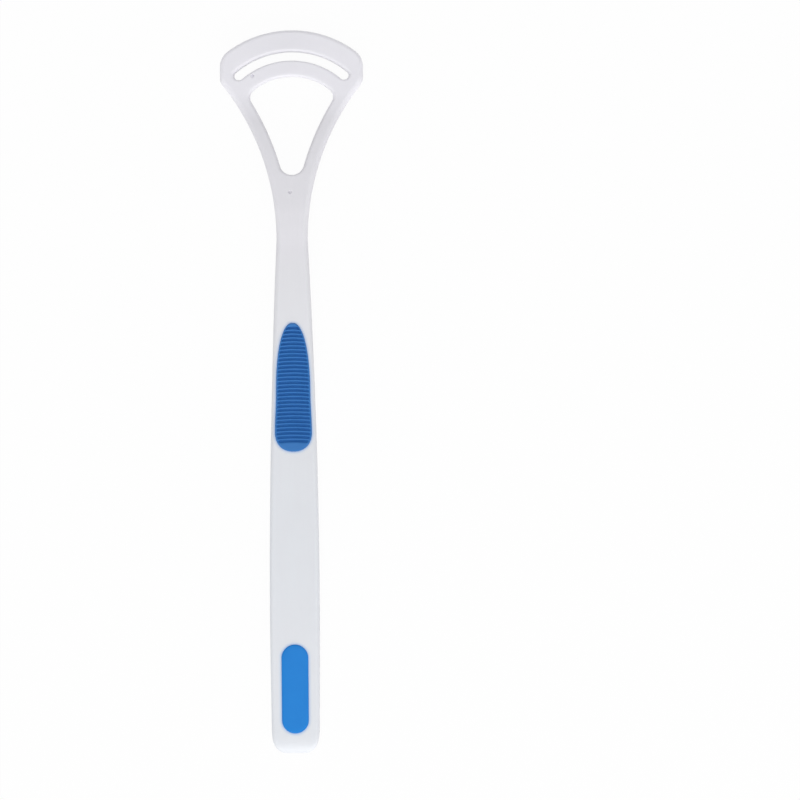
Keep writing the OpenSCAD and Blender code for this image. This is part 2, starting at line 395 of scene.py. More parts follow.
class Graph:
    """Node tree of one material or of the world."""

    def __init__(self, owner: Any, output: str = "ShaderNodeOutputMaterial") -> None:
        """Empties the tree of a new material or world, and adds its output."""
        owner.use_nodes = True
        self.owner, self.tree = owner, owner.node_tree
        self.tree.nodes.clear()
        self.out = self.tree.nodes.new(output)

    def node(self, kind: str, settings: dict[str, Any], inputs: dict[Any, Any], output: Any = 0) -> Sock:
        """Adds a node.

        Args:
            kind: Type of the node.
            settings: Values of the node itself, and a ramp's stops as pairs under "stops".
            inputs: Values or links of its sockets, by name or number.
            output: Name or number of the output that is wanted.

        Returns:
            The wanted output.
        """
        made = self.tree.nodes.new(kind)
        for key, value in settings.items():
            if key == "stops":
                ramp = made.color_ramp
                while len(ramp.elements) < len(value):
                    ramp.elements.new(1.0)
                for element, (place, colour) in zip(ramp.elements, value):
                    element.position, element.color = place, colour
            else:
                setattr(made, key, value)
        for key, value in inputs.items():
            if isinstance(value, Sock):
                self.tree.links.new(value.socket, made.inputs[key])
            else:
                made.inputs[key].default_value = value
        return Sock(self, made.outputs[output])

    def blend(self, share: Any, first: Any, second: Any) -> Sock:
        """Mixes two colours by a share."""
        inputs = {"Factor": share, 6: first, 7: second}
        return self.node("ShaderNodeMix", {"data_type": "RGBA"}, inputs, 2)

    def place(self) -> Sock:
        """Object coordinates."""
        return self.node("ShaderNodeTexCoord", {}, {}, "Object")

    def part(self, place: Sock, axis: str) -> Sock:
        """One part of a place: X, Y or Z."""
        return self.node("ShaderNodeSeparateXYZ", {}, {0: place}, axis)

    def positive(self, value: Sock) -> Sock:
        """The value, or 0 where it is less."""
        return self.node("ShaderNodeMath", {"operation": "MAXIMUM"}, {0: value, 1: 0.0})

    def ramp(self, value: Any, low: float, high: float) -> Sock:
        """Share of the way from one value to another, held between 0 and 1."""
        return self.node("ShaderNodeMapRange", {"clamp": True}, {0: value, 1: low, 2: high})

    def noise(self, place: Sock, scale: float, detail: float = 2.0) -> Sock:
        """Noise of the scale given, per metre."""
        return self.node("ShaderNodeTexNoise", {}, {"Vector": place, "Scale": scale, "Detail": detail})

    def cloud(self, place: Sock, look: Cloud) -> Sock:
        """Share of a cloudy pattern."""
        return self.ramp(self.noise(place, look.scale, look.detail), look.low, look.high) * look.share

    def bump(self, height: Sock, strength: float) -> Sock:
        """Fine relief of the surface."""
        return self.node("ShaderNodeBump", {}, {"Strength": strength, "Distance": BUMP_DEPTH, "Height": height})

    def background_share(self) -> Sock:
        """Share of the rays that show the background: of the camera, of gloss and through clear parts."""
        total = self.node("ShaderNodeLightPath", {}, {}, "Is Camera Ray")
        for name in ("Is Glossy Ray", "Is Transmission Ray"):
            ray = self.node("ShaderNodeLightPath", {}, {}, name)
            total = self.node("ShaderNodeMath", {"operation": "ADD", "use_clamp": True}, {0: total, 1: ray})
        return total

    def finish(self, shader: Sock) -> Any:
        """Links the shader to the output and gives the material or world."""
        self.tree.links.new(shader.socket, self.out.inputs["Surface"])
        return self.owner


def srgb(red: int, green: int, blue: int) -> Colour:
    """Shader colour of a screen colour in steps of 0 to 255."""
    def straight(level: int) -> float:
        """Linear value of one channel."""
        value = level / 255.0
        return value / 12.92 if value <= 0.04045 else ((value + 0.055) / 1.055) ** 2.4
    return straight(red), straight(green), straight(blue), 1.0


@dataclass(frozen=True)
class Cloud:
    """Noise pattern: its scale per metre, its detail, the noise at which it starts and is full, its share."""

    scale: float
    detail: float
    low: float
    high: float
    share: float


@dataclass(frozen=True)
class Inlay:
    """Outline of a soft piece, for the plastic round it: its ends in millimetres from the tail's end, the
    lengths over which they are rounded, its half widths there and the power of the rounding."""

    low: float
    high: float
    low_len: float
    high_len: float
    low_half: float
    high_half: float
    power: float

    def distance(self, graph: Graph, x: Sock, y: Sock) -> Sock:
        """Distance outwards from the outline.

        Args:
            graph: Graph that gets the nodes.
            x: Place across the handle in millimetres.
            y: Place along the handle in millimetres.

        Returns:
            The distance in millimetres.
        """
        low_edge, high_edge = self.low + self.low_len, self.high - self.high_len
        lower = graph.positive(low_edge - y) / self.low_len
        upper = graph.positive(y - high_edge) / self.high_len
        straight = graph.ramp(y, low_edge, high_edge)
        half = self.low_half + straight * (self.high_half - self.low_half)
        side = abs(x) / half
        size = (side ** self.power + (lower + upper) ** self.power) ** (1.0 / self.power)
        steep = self.power - 1.0
        across, along = side ** steep / half, lower ** steep / self.low_len + upper ** steep / self.high_len
        return (size - 1.0) / (across * across + along * along) ** 0.5


@dataclass(frozen=True)
class MouldedPlastic:
    """Satin moulding plastic that lets a little light into it, with painted light along its length that makes
    the neck's slope and the head lighter, faint flow lines along the handle and a breath of blue where the soft
    pieces show through its thin rim."""

    # Painted light: base colours along the body, made lighter on the neck's slope and on the head to make up
    # for how the lamps fall there.
    painted_light_tones: tuple[tuple[float, Colour], ...] = (
        (-0.030, srgb(225, 228, 233)), (0.030, srgb(226, 226, 230)), (0.036, srgb(227, 226, 231)),
        (0.041, srgb(234, 233, 238)), (0.045, srgb(237, 236, 241)), (0.048, srgb(234, 233, 238)),
        (0.056, srgb(227, 226, 231)), (0.069, srgb(223, 222, 227)), (0.076, srgb(238, 237, 243)))
    shade: Colour = srgb(221, 221, 226)
    clouds: Cloud = Cloud(55.0, 3.0, 0.45, 0.8, 0.3)
    streaks: Cloud = Cloud(850.0, 2.0, 0.35, 0.75, 0.22)
    streak_squeeze: float = 0.07
    streak_end: Point = (0.05, 0.07)
    inlays: tuple[Inlay, ...] = (Inlay(5.3, 28.0, 3.4, 3.4, 3.4, 3.4, 2.0),
                                 Inlay(77.1, 109.8, 4.9, 17.8, 4.7, 4.35, 2.2))
    soak: Colour = srgb(96, 168, 240)
    soak_reach: float = 0.8
    soak_share: float = 0.6
    soak_heights: Point = (3.0, 4.5)
    half_length: float = 92.45
    gloss: float = 0.36
    gloss_scale: float = 320.0
    gloss_change: float = 0.08
    grain_scale: float = 2600.0
    grain_share: float = 0.5
    wave_scale: float = 160.0
    relief: float = 0.12
    scatter: float = 0.35
    depth: float = 0.0012

    def soaked(self, graph: Graph, place: Sock) -> Sock:
        """Share of the soft pieces' blue in the plastic round them.

        Args:
            graph: Graph that gets the nodes.
            place: Object coordinates.

        Returns:
            The share, which is 0 away from the soft pieces and on the underside.
        """
        x = graph.part(place, "X") / MM
        y = graph.part(place, "Y") / MM + self.half_length
        on_top = graph.ramp(graph.part(place, "Z") / MM, *self.soak_heights)
        clear = [graph.ramp(inlay.distance(graph, x, y), 0.0, self.soak_reach) for inlay in self.inlays]
        near = [(1.0 - share) ** 2.0 for share in clear]
        return on_top * (near[0] + near[1]) * self.soak_share

    def material(self) -> bpy.types.Material:
        """Node material of the plastic."""
        graph = Graph(bpy.data.materials.new("white_moulded_plastic"))
        place = graph.place()
        along = graph.part(place, "Y")
        first, last = self.painted_light_tones[0][0], self.painted_light_tones[-1][0]
        stops = [((at - first) / (last - first), colour) for at, colour in self.painted_light_tones]
        # Painted light: the base colour follows the painted tones along the body.
        painted_tone = graph.node("ShaderNodeValToRGB", {"stops": stops}, {0: graph.ramp(along, first, last)})
        colour = graph.blend(graph.cloud(place, self.clouds), painted_tone, self.shade)
        squeeze = {0: place, 1: (1.0, self.streak_squeeze, 1.0)}
        drawn = graph.node("ShaderNodeVectorMath", {"operation": "MULTIPLY"}, squeeze)
        on_handle = 1.0 - graph.ramp(along, *self.streak_end)
        colour = graph.blend(graph.cloud(drawn, self.streaks) * on_handle, colour, self.shade)
        colour = graph.blend(self.soaked(graph, place), colour, self.soak)
        rough = self.gloss + graph.noise(place, self.gloss_scale, 3.0) * self.gloss_change
        height = graph.noise(place, self.grain_scale) * self.grain_share + graph.noise(place, self.wave_scale)
        shader = graph.node("ShaderNodeBsdfPrincipled", {}, {
            "Base Color": colour, "Roughness": rough, "IOR": 1.5, "Normal": graph.bump(height, self.relief),
            "Subsurface Weight": self.scatter, "Subsurface Radius": (1.0, 1.0, 1.0),
            "Subsurface Scale": self.depth})
        return graph.finish(shader)


class Touch(Enum):
    """Roughness and gloss of a soft plastic's surface."""

    MATTE = (0.5, 0.38)
    SATIN = (0.44, 0.3)


@dataclass(frozen=True)
class SoftPlastic:
    """Soft coloured plastic of a grip or pad."""

    name: str
    touch: Touch
    colour: Colour
    deep: Colour
    clouds: Cloud = Cloud(240.0, 3.0, 0.35, 0.75, 0.5)
    gloss_scale: float = 900.0
    gloss_change: float = 0.1
    grain_scale: float = 4200.0
    relief: float = 0.2

    def material(self) -> bpy.types.Material:
        """Node material of the soft plastic."""
        graph = Graph(bpy.data.materials.new(self.name))
        place = graph.place()
        roughness, gloss = self.touch.value
        shader = graph.node("ShaderNodeBsdfPrincipled", {}, {
            "Base Color": graph.blend(graph.cloud(place, self.clouds), self.colour, self.deep),
            "Roughness": roughness + graph.noise(place, self.gloss_scale) * self.gloss_change,
            "IOR": 1.45, "Specular IOR Level": gloss,
            "Normal": graph.bump(graph.noise(place, self.grain_scale), self.relief)})
        return graph.finish(shader)


# Body

@dataclass(frozen=True)
class SideView:
    """Heights and widths of the handle, as the solids have them."""

    plate_length: float = 185.0
    neck_y: float = 131.0
    belly_y: float = 36.0
    tail_w: float = 12.1
    belly_w: float = 12.6
    neck_w: float = 7.9
    tail_t: float = 5.7
    belly_t: float = 6.6
    neck_t: float = 4.2
    head_t: float = 2.4
    neck_rise: float = 3.0
    flat_y: float = 62.0
    trim: float = 0.25
    tail_corner_r: float = 7.0
    tail_corner_power: float = 3.0
    tail_edge_r: float = 5.0
    tail_edge_power: float = 2.2
    tail_flat_share: float = 0.035
    hollow_depth: float = 0.6
    hollow_y: float = 93.45
    hollow_reach: float = 24.525
    thinning_len: float = 15.0
    root_end_y: float = 147.0
    bend_len: float = 8.0
    pivot_y: float = 135.0
    lip_reach: float = 46.25
    lip_drop: float = 2.2

    @property
    def pivot_z(self) -> float:
        """Height of the place that the head turns about."""
        return self.neck_rise + self.neck_t / 2.0

    @property
    def tilt(self) -> float:
        """Angle of the head in radians, at which its lip meets the surface below."""
        return (math.asin(self.pivot_z / math.hypot(self.lip_reach, self.lip_drop))
                - math.atan2(self.lip_drop, self.lip_reach))

    def half_width(self, y: float) -> float:
        """Half of the handle's width below the neck."""
        if y < self.belly_y:
            full = mix(self.tail_w, self.belly_w, ease(y / self.belly_y))
            end = end_share(y, self.tail_corner_r, self.tail_corner_power, self.tail_flat_share)
            return full / 2.0 * end
        share = (y - self.belly_y) / (self.neck_y - self.belly_y)
        return mix(self.belly_w, self.neck_w, share * share) / 2.0

    def rise(self, y: float) -> float:
        """Share of the neck's rise."""
        return ease((y - self.flat_y) / (self.neck_y - self.flat_y))

    def thickness(self, y: float) -> float:
        """Thickness of the body along the handle."""
        if y < self.belly_y:
            return mix(self.tail_t, self.belly_t, ease(y / self.belly_y))
        if y < self.neck_y:
            share = ease((y - self.belly_y) / (self.neck_y - self.belly_y))
            hollow = self.hollow_depth * (1.0 - ease(abs(y - self.hollow_y) / self.hollow_reach))
            return mix(self.belly_t, self.neck_t, share) - hollow
        return mix(self.neck_t, self.head_t, ease((y - self.neck_y) / self.thinning_len))

    def middle(self, y: float) -> float:
        """Height of the middle line past the neck."""
        run = y - self.neck_y
        fall = run * run / (2.0 * self.bend_len) if run < self.bend_len else run - self.bend_len / 2.0
        return self.pivot_z - math.tan(self.tilt) * fall

    def top(self, y: float) -> float:
        """Height of the upper surface."""
        if y < self.neck_y:
            return self.neck_rise * self.rise(y) + self.thickness(y)
        return self.middle(y) + self.thickness(y) / 2.0

    def bottom(self, y: float) -> float:
        """Height of the lower surface."""
        if y < self.neck_y:
            return max(0.0, self.neck_rise * self.rise(y) - self.trim * (1.0 - self.rise(y)))
        return self.middle(y) - self.thickness(y) / 2.0

    def along(self, y: float) -> float:
        """Place along the handle after the head has been turned down."""
        return y if y < self.pivot_y else self.pivot_y + (y - self.pivot_y) * math.cos(self.tilt)

    @property
    def length(self) -> float:
        """Whole length of the part."""
        return self.along(self.plate_length)

    def body_carrier(self) -> Carrier:
        """Lattice that gives the plate its thickness and side view."""
        return Carrier(self.bottom, self.top, self.along)

    def surface_carrier(self) -> Carrier:
        """Lattice that lays flat work on the upper surface."""
        return Carrier(self.top, lambda y: self.top(y) + 1.0, self.along)

    def tail_carrier(self) -> Carrier:
        """Lattice that rounds the tail's end, as seen from the side."""
        middle = self.tail_t / 2.0

        def reach(y: float) -> float:
            """Half of the tail's thickness."""
            return middle * end_share(y, self.tail_edge_r, self.tail_edge_power, self.tail_flat_share)
        return Carrier(lambda y: middle - reach(y), lambda y: middle + reach(y), lambda y: y,
                       start=-1.0, end=8.0, roof=self.tail_t)

    def lay(self, bench: Bench) -> bpy.types.Object:
        """Leaves a bench and lays its work on the upper surface."""
        work = bench.leave()
        self.surface_carrier().bend(work)
        return work

    def settle(self, obj: bpy.types.Object, sharp_angle: float) -> None:
        """Brings a finished piece from millimetres into the frame and shades it smooth.

        Args:
            obj: Finished piece.
            sharp_angle: Angle in degrees past which an edge stays sharp.
        """
        choose(obj)
        obj.scale = (MM, MM, MM)
        obj.location = (0.0, -self.length / 2.0 * MM, 0.0)
        bpy.ops.object.transform_apply(location=True, rotation=True, scale=True)
        bpy.ops.object.shade_smooth_by_angle(angle=math.radians(sharp_angle))


@dataclass
class ScraperBody:
    """White moulding: tail, handle, neck, fork and the two arched bands with their lips."""

    view: SideView
    finish: MouldedPlastic = MouldedPlastic()
    arch: Point = (0.0, 157.7)
    band_radii: tuple[float, float, float, float] = (27.3, 21.8, 19.4, 15.4)
    corner_low: Point = (15.3, 172.8)
    corner_high: Point = (13.3, 175.6)
    corner_high_r: float = 5.0
    slot_cap: Point = (13.43, 173.3)
    window_corner: Point = (8.216, 167.775)
    window_corner_r: float = 2.4
    flare: Point = (68.95, 131.0)
    inner_flare_r: float = 68.6
    inner_flare_end: float = 169.8
    flare_reach: float = 12.0
    band_reach: float = 14.5
    corner_reach: float = 15.0
    arc_slack: float = 0.05
    crotch: Point = (0.0, 150.8)
    crotch_r: float = 3.136
    tail_rows: tuple[float, ...] = (0.0, 0.12, 0.4, 0.8, 1.4, 2.1, 3.0, 4.0, 5.2, 6.755)
    row_step: float = 2.0
    nose_rows: tuple[float, ...] = (0.15, 0.35, 0.6, 0.9, 1.25, 1.65, 2.1, 2.6, 3.1, 3.6, 4.2, 4.8, 5.6)
    rim_round: float = 1.35
    tail_round: float = 0.85
    neck_round: float = 1.15
    neck_round_start: float = 40.0
    neck_round_len: float = 80.0
    shoulder_len: float = 12.0
    crown_round: float = 0.9
    under_round: float = 0.8
    slot_round: float = 0.7
    window_round: float = 0.6
    far_round: float = 0.45
    side_round: float = 0.4
    opening_under: Point = (0.2, 0.5)
    widest_round: float = 2.0
    lip_radii: Point = (23.3, 16.9)
    lip_half_angle: float = 34.0
    lip_steps: int = 24
    lip_h: float = 1.0
    lip_root_h: float = 0.25
    lip_root_w: float = 1.3
    lip_edge_w: float = 0.5
    lip_ends: tuple[Point, ...] = ((0.5, 0.75), (0.3, 0.55))
    lip_end_z: float = 0.2
    marks: tuple[tuple[float, float, float, float], ...] = (
        (-0.46, 143.2, 0.28, 0.4), (-9.95, 173.2, 0.24, 0.55))
    mark_draft: float = 2.8
    sharp_angle: float = 32.0

    def handle_rows(self) -> list[float]:
        """Places along the handle where the outline has points, from the tail to the neck."""
        start, end = self.tail_rows[-1], self.view.neck_y
        steps = round((end - start) / self.row_step)
        return list(self.tail_rows) + [mix(start, end, index / steps) for index in range(1, steps + 1)]

    def outline(self) -> tuple[Bench, list[float]]:
        """Draws half of the outline.

        Returns:
            The bench with the filled outline, and the rows at which it is to be cut.
        """
        rows = self.handle_rows()
        bench = Bench("scraper_body", 0.0, 0.0)
        for row in rows:
            bench.line_to(self.view.half_width(row), row)
        low_angle = angle_to(self.flare, self.corner_low)
        crotch_angle = angle_to(self.flare, self.crotch)
        arm_rows = bench.arc(self.flare, low_angle - 180.0)
        bench.arc(self.corner_low, -angle_to(self.corner_low, (bench.pen.x, bench.pen.y)))
        bench.line_to(self.corner_high[0] + self.corner_high_r, self.corner_high[1])
        high_angle = angle_to(self.arch, self.corner_high)
        bench.arc(self.corner_high, high_angle)
        bench.arc(self.arch, 90.0 - high_angle)
        _, slot_top, slot_low, window = self.band_radii
        bench.line_to(0.0, self.arch[1] + slot_top)
        slot_angle = angle_to(self.arch, self.slot_cap)
        bench.arc(self.arch, slot_angle - 90.0)
        bench.arc(on_circle(self.arch, (slot_top + slot_low) / 2.0, slot_angle), -180.0)
        bench.arc(self.arch, 90.0 - slot_angle)
        bench.line_to(0.0, self.arch[1] + window)
        window_angle = angle_to(self.arch, self.window_corner)
        bench.arc(self.arch, window_angle - 90.0)
        inner_angle = angle_to(self.window_corner, self.flare)
        bench.arc(self.window_corner, inner_angle - window_angle)
        bench.arc(self.flare, crotch_angle - angle_to(self.flare, (bench.pen.x, bench.pen.y)))
        bench.arc(self.crotch, -90.0 - angle_to(self.crotch, (bench.pen.x, bench.pen.y)))
        bench.close()
        cuts = [row for row in rows + arm_rows[1:] if self.tail_rows[-1] <= row < self.view.root_end_y]
        return bench, cuts

    def rim_width(self, edge: Any) -> float:
        """Width of the rounding that an edge of the plate gets.

        Args:
            edge: Edge of the flat plate, before it is bent.

        Returns:
            Width in millimetres, or 0 for an edge that isn't on the rim.
        """
        faces = sorted((face.normal for face in edge.link_faces), key=lambda normal: abs(normal.z))
        if len(faces) != 2 or abs(faces[0].z) > 0.5 or abs(faces[1].z) < 0.5:
            return 0.0
        middle = (edge.verts[0].co + edge.verts[1].co) / 2.0
        upper = middle.z > 0.5
        if middle.y < self.view.neck_y:
            share = ease((middle.y - self.neck_round_start) / self.neck_round_len)
            return mix(self.tail_round, self.neck_round, share) if upper else self.rim_round
        wall = faces[0]
        if self.on_window_side(abs(middle.x), middle.y):
            away = (wall.y + 1.0) / 2.0
            if not upper:
                return mix(*self.opening_under, away)
            in_slot = math.dist((middle.x, middle.y), self.arch) > self.band_radii[2] - 0.1
            near = self.slot_round if in_slot else self.window_round
            return mix(near, self.far_round, away) + self.side_round * wall.x ** 2
        share = ease((middle.y - self.view.neck_y) / self.shoulder_len)
        if not upper:
            return mix(self.rim_round, self.under_round, share)
        outer = mix(self.rim_round, self.crown_round, ease((wall.y + 0.5) / 1.2))
        return mix(self.neck_round, outer, share)

    def on_window_side(self, x: float, y: float) -> bool:
        """Says whether a point of the outline borders the window or the slot."""
        if y <= self.view.root_end_y:
            return False
        _, slot_top, slot_low, window = self.band_radii
        arcs = [(self.arch, radius, self.band_reach) for radius in (slot_top, slot_low, window)]
        arcs += [(self.crotch, self.crotch_r, self.corner_reach),
                 (self.slot_cap, (slot_top - slot_low) / 2.0, self.corner_reach),
                 (self.window_corner, self.window_corner_r, self.corner_reach)]
        if y < self.inner_flare_end:
            arcs.append((self.flare, self.inner_flare_r, self.flare_reach))
        return any(abs(math.dist((x, y), centre) - radius) < self.arc_slack and x < reach
                   for centre, radius, reach in arcs)

    def weigh_rims(self, bench: Bench) -> None:
        """Writes the width of each rim edge's rounding as its bevel weight."""
        bench.resume()
        mesh = bmesh.from_edit_mesh(bench.obj.data)
        mesh.normal_update()
        layer = mesh.edges.layers.float.new("bevel_weight_edge")
        for edge in mesh.edges:
            edge[layer] = self.rim_width(edge) / self.widest_round
        bmesh.update_edit_mesh(bench.obj.data)
        bpy.ops.object.mode_set(mode="OBJECT")

    def lip(self, radius: float) -> bpy.types.Object:
        """Scraping lip that hangs below a band.

        Args:
            radius: Radius of the lip's middle line.

        Returns:
            The lip, in the plate's flat state.
        """
        middle = self.arch[1] + radius
        root, edge = self.lip_root_w / 2.0, self.lip_edge_w / 2.0
        bench = Bench("scraper_lip", 0.0, middle - root, self.lip_root_h)
        half = ((root, 0.0), (edge, -self.lip_h * 0.8), (edge * 0.5, -self.lip_h))
        for across, height in half:
            bench.line_to(0.0, middle - across, height)
        for across, height in (*reversed(half), (root, self.lip_root_h)):
            bench.line_to(0.0, middle + across, height)
        bench.close()
        bpy.ops.mesh.spin(steps=self.lip_steps, angle=math.radians(self.lip_half_angle),
                          center=(*self.arch, 0.0), axis=(0, 0, 1))
        end = on_circle(self.arch, radius, 90.0 - self.lip_half_angle)
        turn = math.radians(-self.lip_half_angle)
        for step, shrink in self.lip_ends:
            move = (math.cos(turn) * step, math.sin(turn) * step, 0.0)
            end = (end[0] + move[0], end[1] + move[1])
            pull(*move)
            stretch(shrink, shrink, shrink, (*end, self.lip_end_z))
        return bench.leave_mirrored()

    def mark(self, x: float, y: float, radius: float, depth: float) -> bpy.types.Object:
        """Shallow round mark that the mould leaves.

        Args:
            x: Place across the handle.
            y: Place along the handle.
            radius: Radius of the mark at its bottom; it widens upwards.
            depth: Depth of the mark below the surface.

        Returns:
            The tool that cuts it, laid on the surface.
        """
        bench = Bench("mould_mark", x + radius, y, -depth)
        bench.arc((x, y), 360.0)
        bench.close()
        bench.thicken(1.0)
        bench.pick("verts", lambda vert: vert.co.z > 0.0)
        stretch(self.mark_draft, self.mark_draft, 1.0, (x, y, 0.0))
        return self.view.lay(bench)

    def build(self, seats: list[bpy.types.Object]) -> bpy.types.Object:
        """Models the body.

        Args:
            seats: Tools that cut the pads' seats, already laid on the surface.

        Returns:
            The body in the frame.
        """
        bench, cuts = self.outline()
        bench.cut_rows(cuts)
        bench.thicken(1.0)
        body = bench.leave_mirrored()
        self.weigh_rims(bench)
        carrier = self.view.body_carrier()
        carrier.bend(body)
        apply_modifier(body, "BEVEL", limit_method="WEIGHT", width=self.widest_round, segments=6,
                       use_clamp_overlap=False, loop_slide=True)
        bench.resume()
        bench.cut_rows(list(self.nose_rows))
        bpy.ops.object.mode_set(mode="OBJECT")
        self.view.tail_carrier().bend(body)
        for radius in self.lip_radii:
            lip = self.lip(radius)
            carrier.bend(lip)
            combine(body, lip, "UNION")
        for place in self.marks:
            combine(body, self.mark(*place), "DIFFERENCE")
        for seat in seats:
            combine(body, seat, "DIFFERENCE")
        bench.resume()
        bpy.ops.mesh.select_all(action="SELECT")
        bpy.ops.mesh.remove_doubles(threshold=NEAR / 4.0)
        bpy.ops.object.mode_set(mode="OBJECT")
        self.view.settle(body, self.sharp_angle)
        apply_modifier(body, "WEIGHTED_NORMAL", keep_sharp=True, weight=50)
        return body

    def dress(self, body: bpy.types.Object) -> None:
        """Gives the body its material and its place in the part."""
        coat(body, self.finish.material())
        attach(body, "root")
        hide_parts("body")


# Soft pieces

@dataclass
class ThumbGrip:
    """Soft ribbed pad in the upper handle, with a smooth crescent below its ribs and a smooth cap above."""

    view: SideView
    finish: SoftPlastic = SoftPlastic("blue_matte_grip", Touch.MATTE, srgb(50, 117, 187), srgb(43, 110, 180))
    start: float = 77.1
    length: float = 32.7
    broad_w: float = 9.4
    waist_w: float = 8.7
    broad_len: float = 4.9
    narrow_len: float = 17.8
    power: float = 2.2
    flat: float = 0.004
    rim: float = 0.32
    top: float = 0.3
    seat_depth: float = 1.2
    gap: float = 0.01
    groove_count: int = 30
    groove_pitch: float = 0.991
    first_groove: float = 79.6
    groove_depth: float = 0.75
    groove_shares: tuple[float, ...] = (0.0, 0.15, 0.75, 1.0, 0.75, 0.15)
    groove_spans: tuple[Place, ...] = ((0.0, 0.9, 1.0), (0.9, 0.98, 0.85))
    low_steps: tuple[float, ...] = (0.0, 0.05, 0.15, 0.3, 0.5, 0.8, 1.2)
    high_steps: tuple[float, ...] = (0.4, 0.22, 0.1, 0.03, 0.0)
    rim_steps: tuple[Point, ...] = ((0.5, 0.04), (0.8, 0.12), (0.97, 0.24), (1.0, 0.4))
    foot: float = 0.2
    bow: float = 0.25
    bow_margin: float = 0.5
    columns: tuple[float, ...] = (
        -1.0, -0.95, -0.86, -0.72, -0.52, -0.27, 0.0, 0.27, 0.52, 0.72, 0.86, 0.95, 1.0)
    sharp_angle: float = 60.0

    def half_width(self, distance: float) -> float:
        """Half of the grip's width at a distance from its lower end."""
        share = ease((distance - self.broad_len) / (self.length - self.broad_len - self.narrow_len))
        full = mix(self.broad_w, self.waist_w, share) / 2.0
        low = end_share(distance, self.broad_len, self.power, self.flat)
        return full * low * end_share(self.length - distance, self.narrow_len, self.power, self.flat)

    def sheet_half_width(self, place: float) -> float:
        """Half of the top sheet's width at a place along the handle: the outline, drawn in by the rim."""
        half_len = self.length / 2.0
        from_middle = (place - self.start - half_len) * half_len / (half_len - self.rim)
        return self.half_width(half_len + from_middle) * (1.0 - 2.0 * self.rim / self.broad_w)

    def rows(self) -> list[tuple[float, float]]:
        """Rows of the ribbed top.

        Returns:
            Pairs of a place along the handle and the share of the grooves' depth there.
        """
        low, high = self.start + self.rim, self.start + self.length - self.rim
        first = self.first_groove - self.groove_pitch / 2.0
        rows = [(low + step, 0.0) for step in self.low_steps]
        for groove in range(self.groove_count):
            for phase, share in enumerate(self.groove_shares):
                rows.append((first + self.groove_pitch * (groove + phase / len(self.groove_shares)), share))
        rows.append((first + self.groove_pitch * self.groove_count, 0.0))
        return rows + [(high - step, 0.0) for step in self.high_steps]

    def seat(self) -> bpy.types.Object:
        """Tool that cuts the grip's seat, laid on the surface."""
        steps = 72
        places = [self.length * (1.0 - math.cos(math.pi * index / steps)) / 2.0 for index in range(steps + 1)]
        bench = Bench("grip_seat", 0.0, self.start - self.gap, -self.seat_depth)
        for place in places:
            bench.line_to(self.half_width(place) + self.gap, self.start + place)
        bench.line_to(0.0, self.start + self.length + self.gap)
        for place in reversed(places):
            bench.line_to(-self.half_width(place) - self.gap, self.start + place)
        bench.close()
        bench.thicken(self.seat_depth + TOOL_REACH)
        return self.view.lay(bench)

    def build(self) -> bpy.types.Object:
        """Models the grip: a sheet of rows, its grooves, its rounded rim and its hidden foot.

        Returns:
            The grip in the frame.
        """
        rows = self.rows()
        low, high = rows[0][0], rows[-1][0]
        width = self.sheet_half_width(low)
        bench = Bench("thumb_grip_ribbed", self.columns[0] * width, low, self.top)
        for column in self.columns[1:]:
            bench.line_to(column * width, low)
        bpy.ops.mesh.select_all(action="SELECT")
        bpy.ops.mesh.select_mode(type="EDGE")
        bpy.ops.mesh.select_all(action="SELECT")
        last = low
        for place, _ in rows[1:]:
            pull(0.0, place - last, 0.0)
            wider = self.sheet_half_width(place)
            stretch(wider / width, 1.0, 1.0, (0.0, place, 0.0))
            last, width = place, wider
        self._press_grooves(bench, rows)
        self._bow_rows(bench, low, high)
        self._wrap_rim(bench, low, high)
        grip = bench.leave()
        apply_modifier(grip, "SUBSURF", levels=1, render_levels=1)
        bench.resume()
        bench.pick("edges", lambda edge: edge.is_boundary)
        bpy.ops.mesh.edge_face_add()
        self.view.lay(bench)
        self.view.settle(grip, self.sharp_angle)
        return grip

    def _press_grooves(self, bench: Bench, rows: list[tuple[float, float]]) -> None:
        """Lowers the grooves' rows, less near their ends."""
        places = [place for place, _ in rows]
        for share in sorted({depth for _, depth in rows} - {0.0}):
            for least, most, part in self.groove_spans:
                def wanted(vert: Any) -> bool:
                    """Says whether a point lies in the rows and columns that are lowered together."""
                    row = min(bisect.bisect_left(places, vert.co.y - 0.02), len(places) - 1)
                    if rows[row][1] != share:
                        return False
                    return least <= abs(vert.co.x) / self.sheet_half_width(vert.co.y) < most
                bench.pick("verts", wanted)
                bpy.ops.transform.translate(value=(0.0, 0.0, -self.groove_depth * share * part))

    def _bow_rows(self, bench: Bench, low: float, high: float) -> None:
        """Bows the rows of the lower half upwards in their middle."""
        steps, slack = 8, 1e-3
        for index in range(steps):
            least = index / steps
            share = (1.0 - (least + 0.5 / steps) ** 2) * self.bow

            def wanted(vert: Any) -> bool:
                """Says whether a point lies in one lengthwise strip of the sheet."""
                across = abs(vert.co.x) / self.sheet_half_width(min(max(vert.co.y, low), high))
                inside = low + self.bow_margin < vert.co.y < high - self.bow_margin
                return inside and least - slack <= across < least + 1.0 / steps - slack
            bench.pick("verts", wanted)
            bpy.ops.transform.translate(value=(0.0, share, 0.0))

    def _wrap_rim(self, bench: Bench, low: float, high: float) -> None:
        """Pulls the sheet's border outwards and down into the seat, to the bottom of the foot."""
        bench.pick("edges", lambda edge: edge.is_boundary)
        middle = (low + high) / 2.0
        half_len = (high - low) / 2.0
        half_w = self.broad_w / 2.0 - self.rim
        out = 0.0
        for part, drop in (*self.rim_steps, (1.0, self.seat_depth + self.foot)):
            reach = part * self.rim
            level = self.top - drop
            wider, longer = (half_w + reach) / (half_w + out), (half_len + reach) / (half_len + out)
            pull(0.0, 0.0, 0.0)
            stretch(wider, longer, 1.0, (0.0, middle, level))
            mesh = bmesh.from_edit_mesh(bench.obj.data)
            height = next(vert.co.z for vert in mesh.verts if vert.select)
            bpy.ops.transform.translate(value=(0.0, 0.0, level - height))
            out = reach

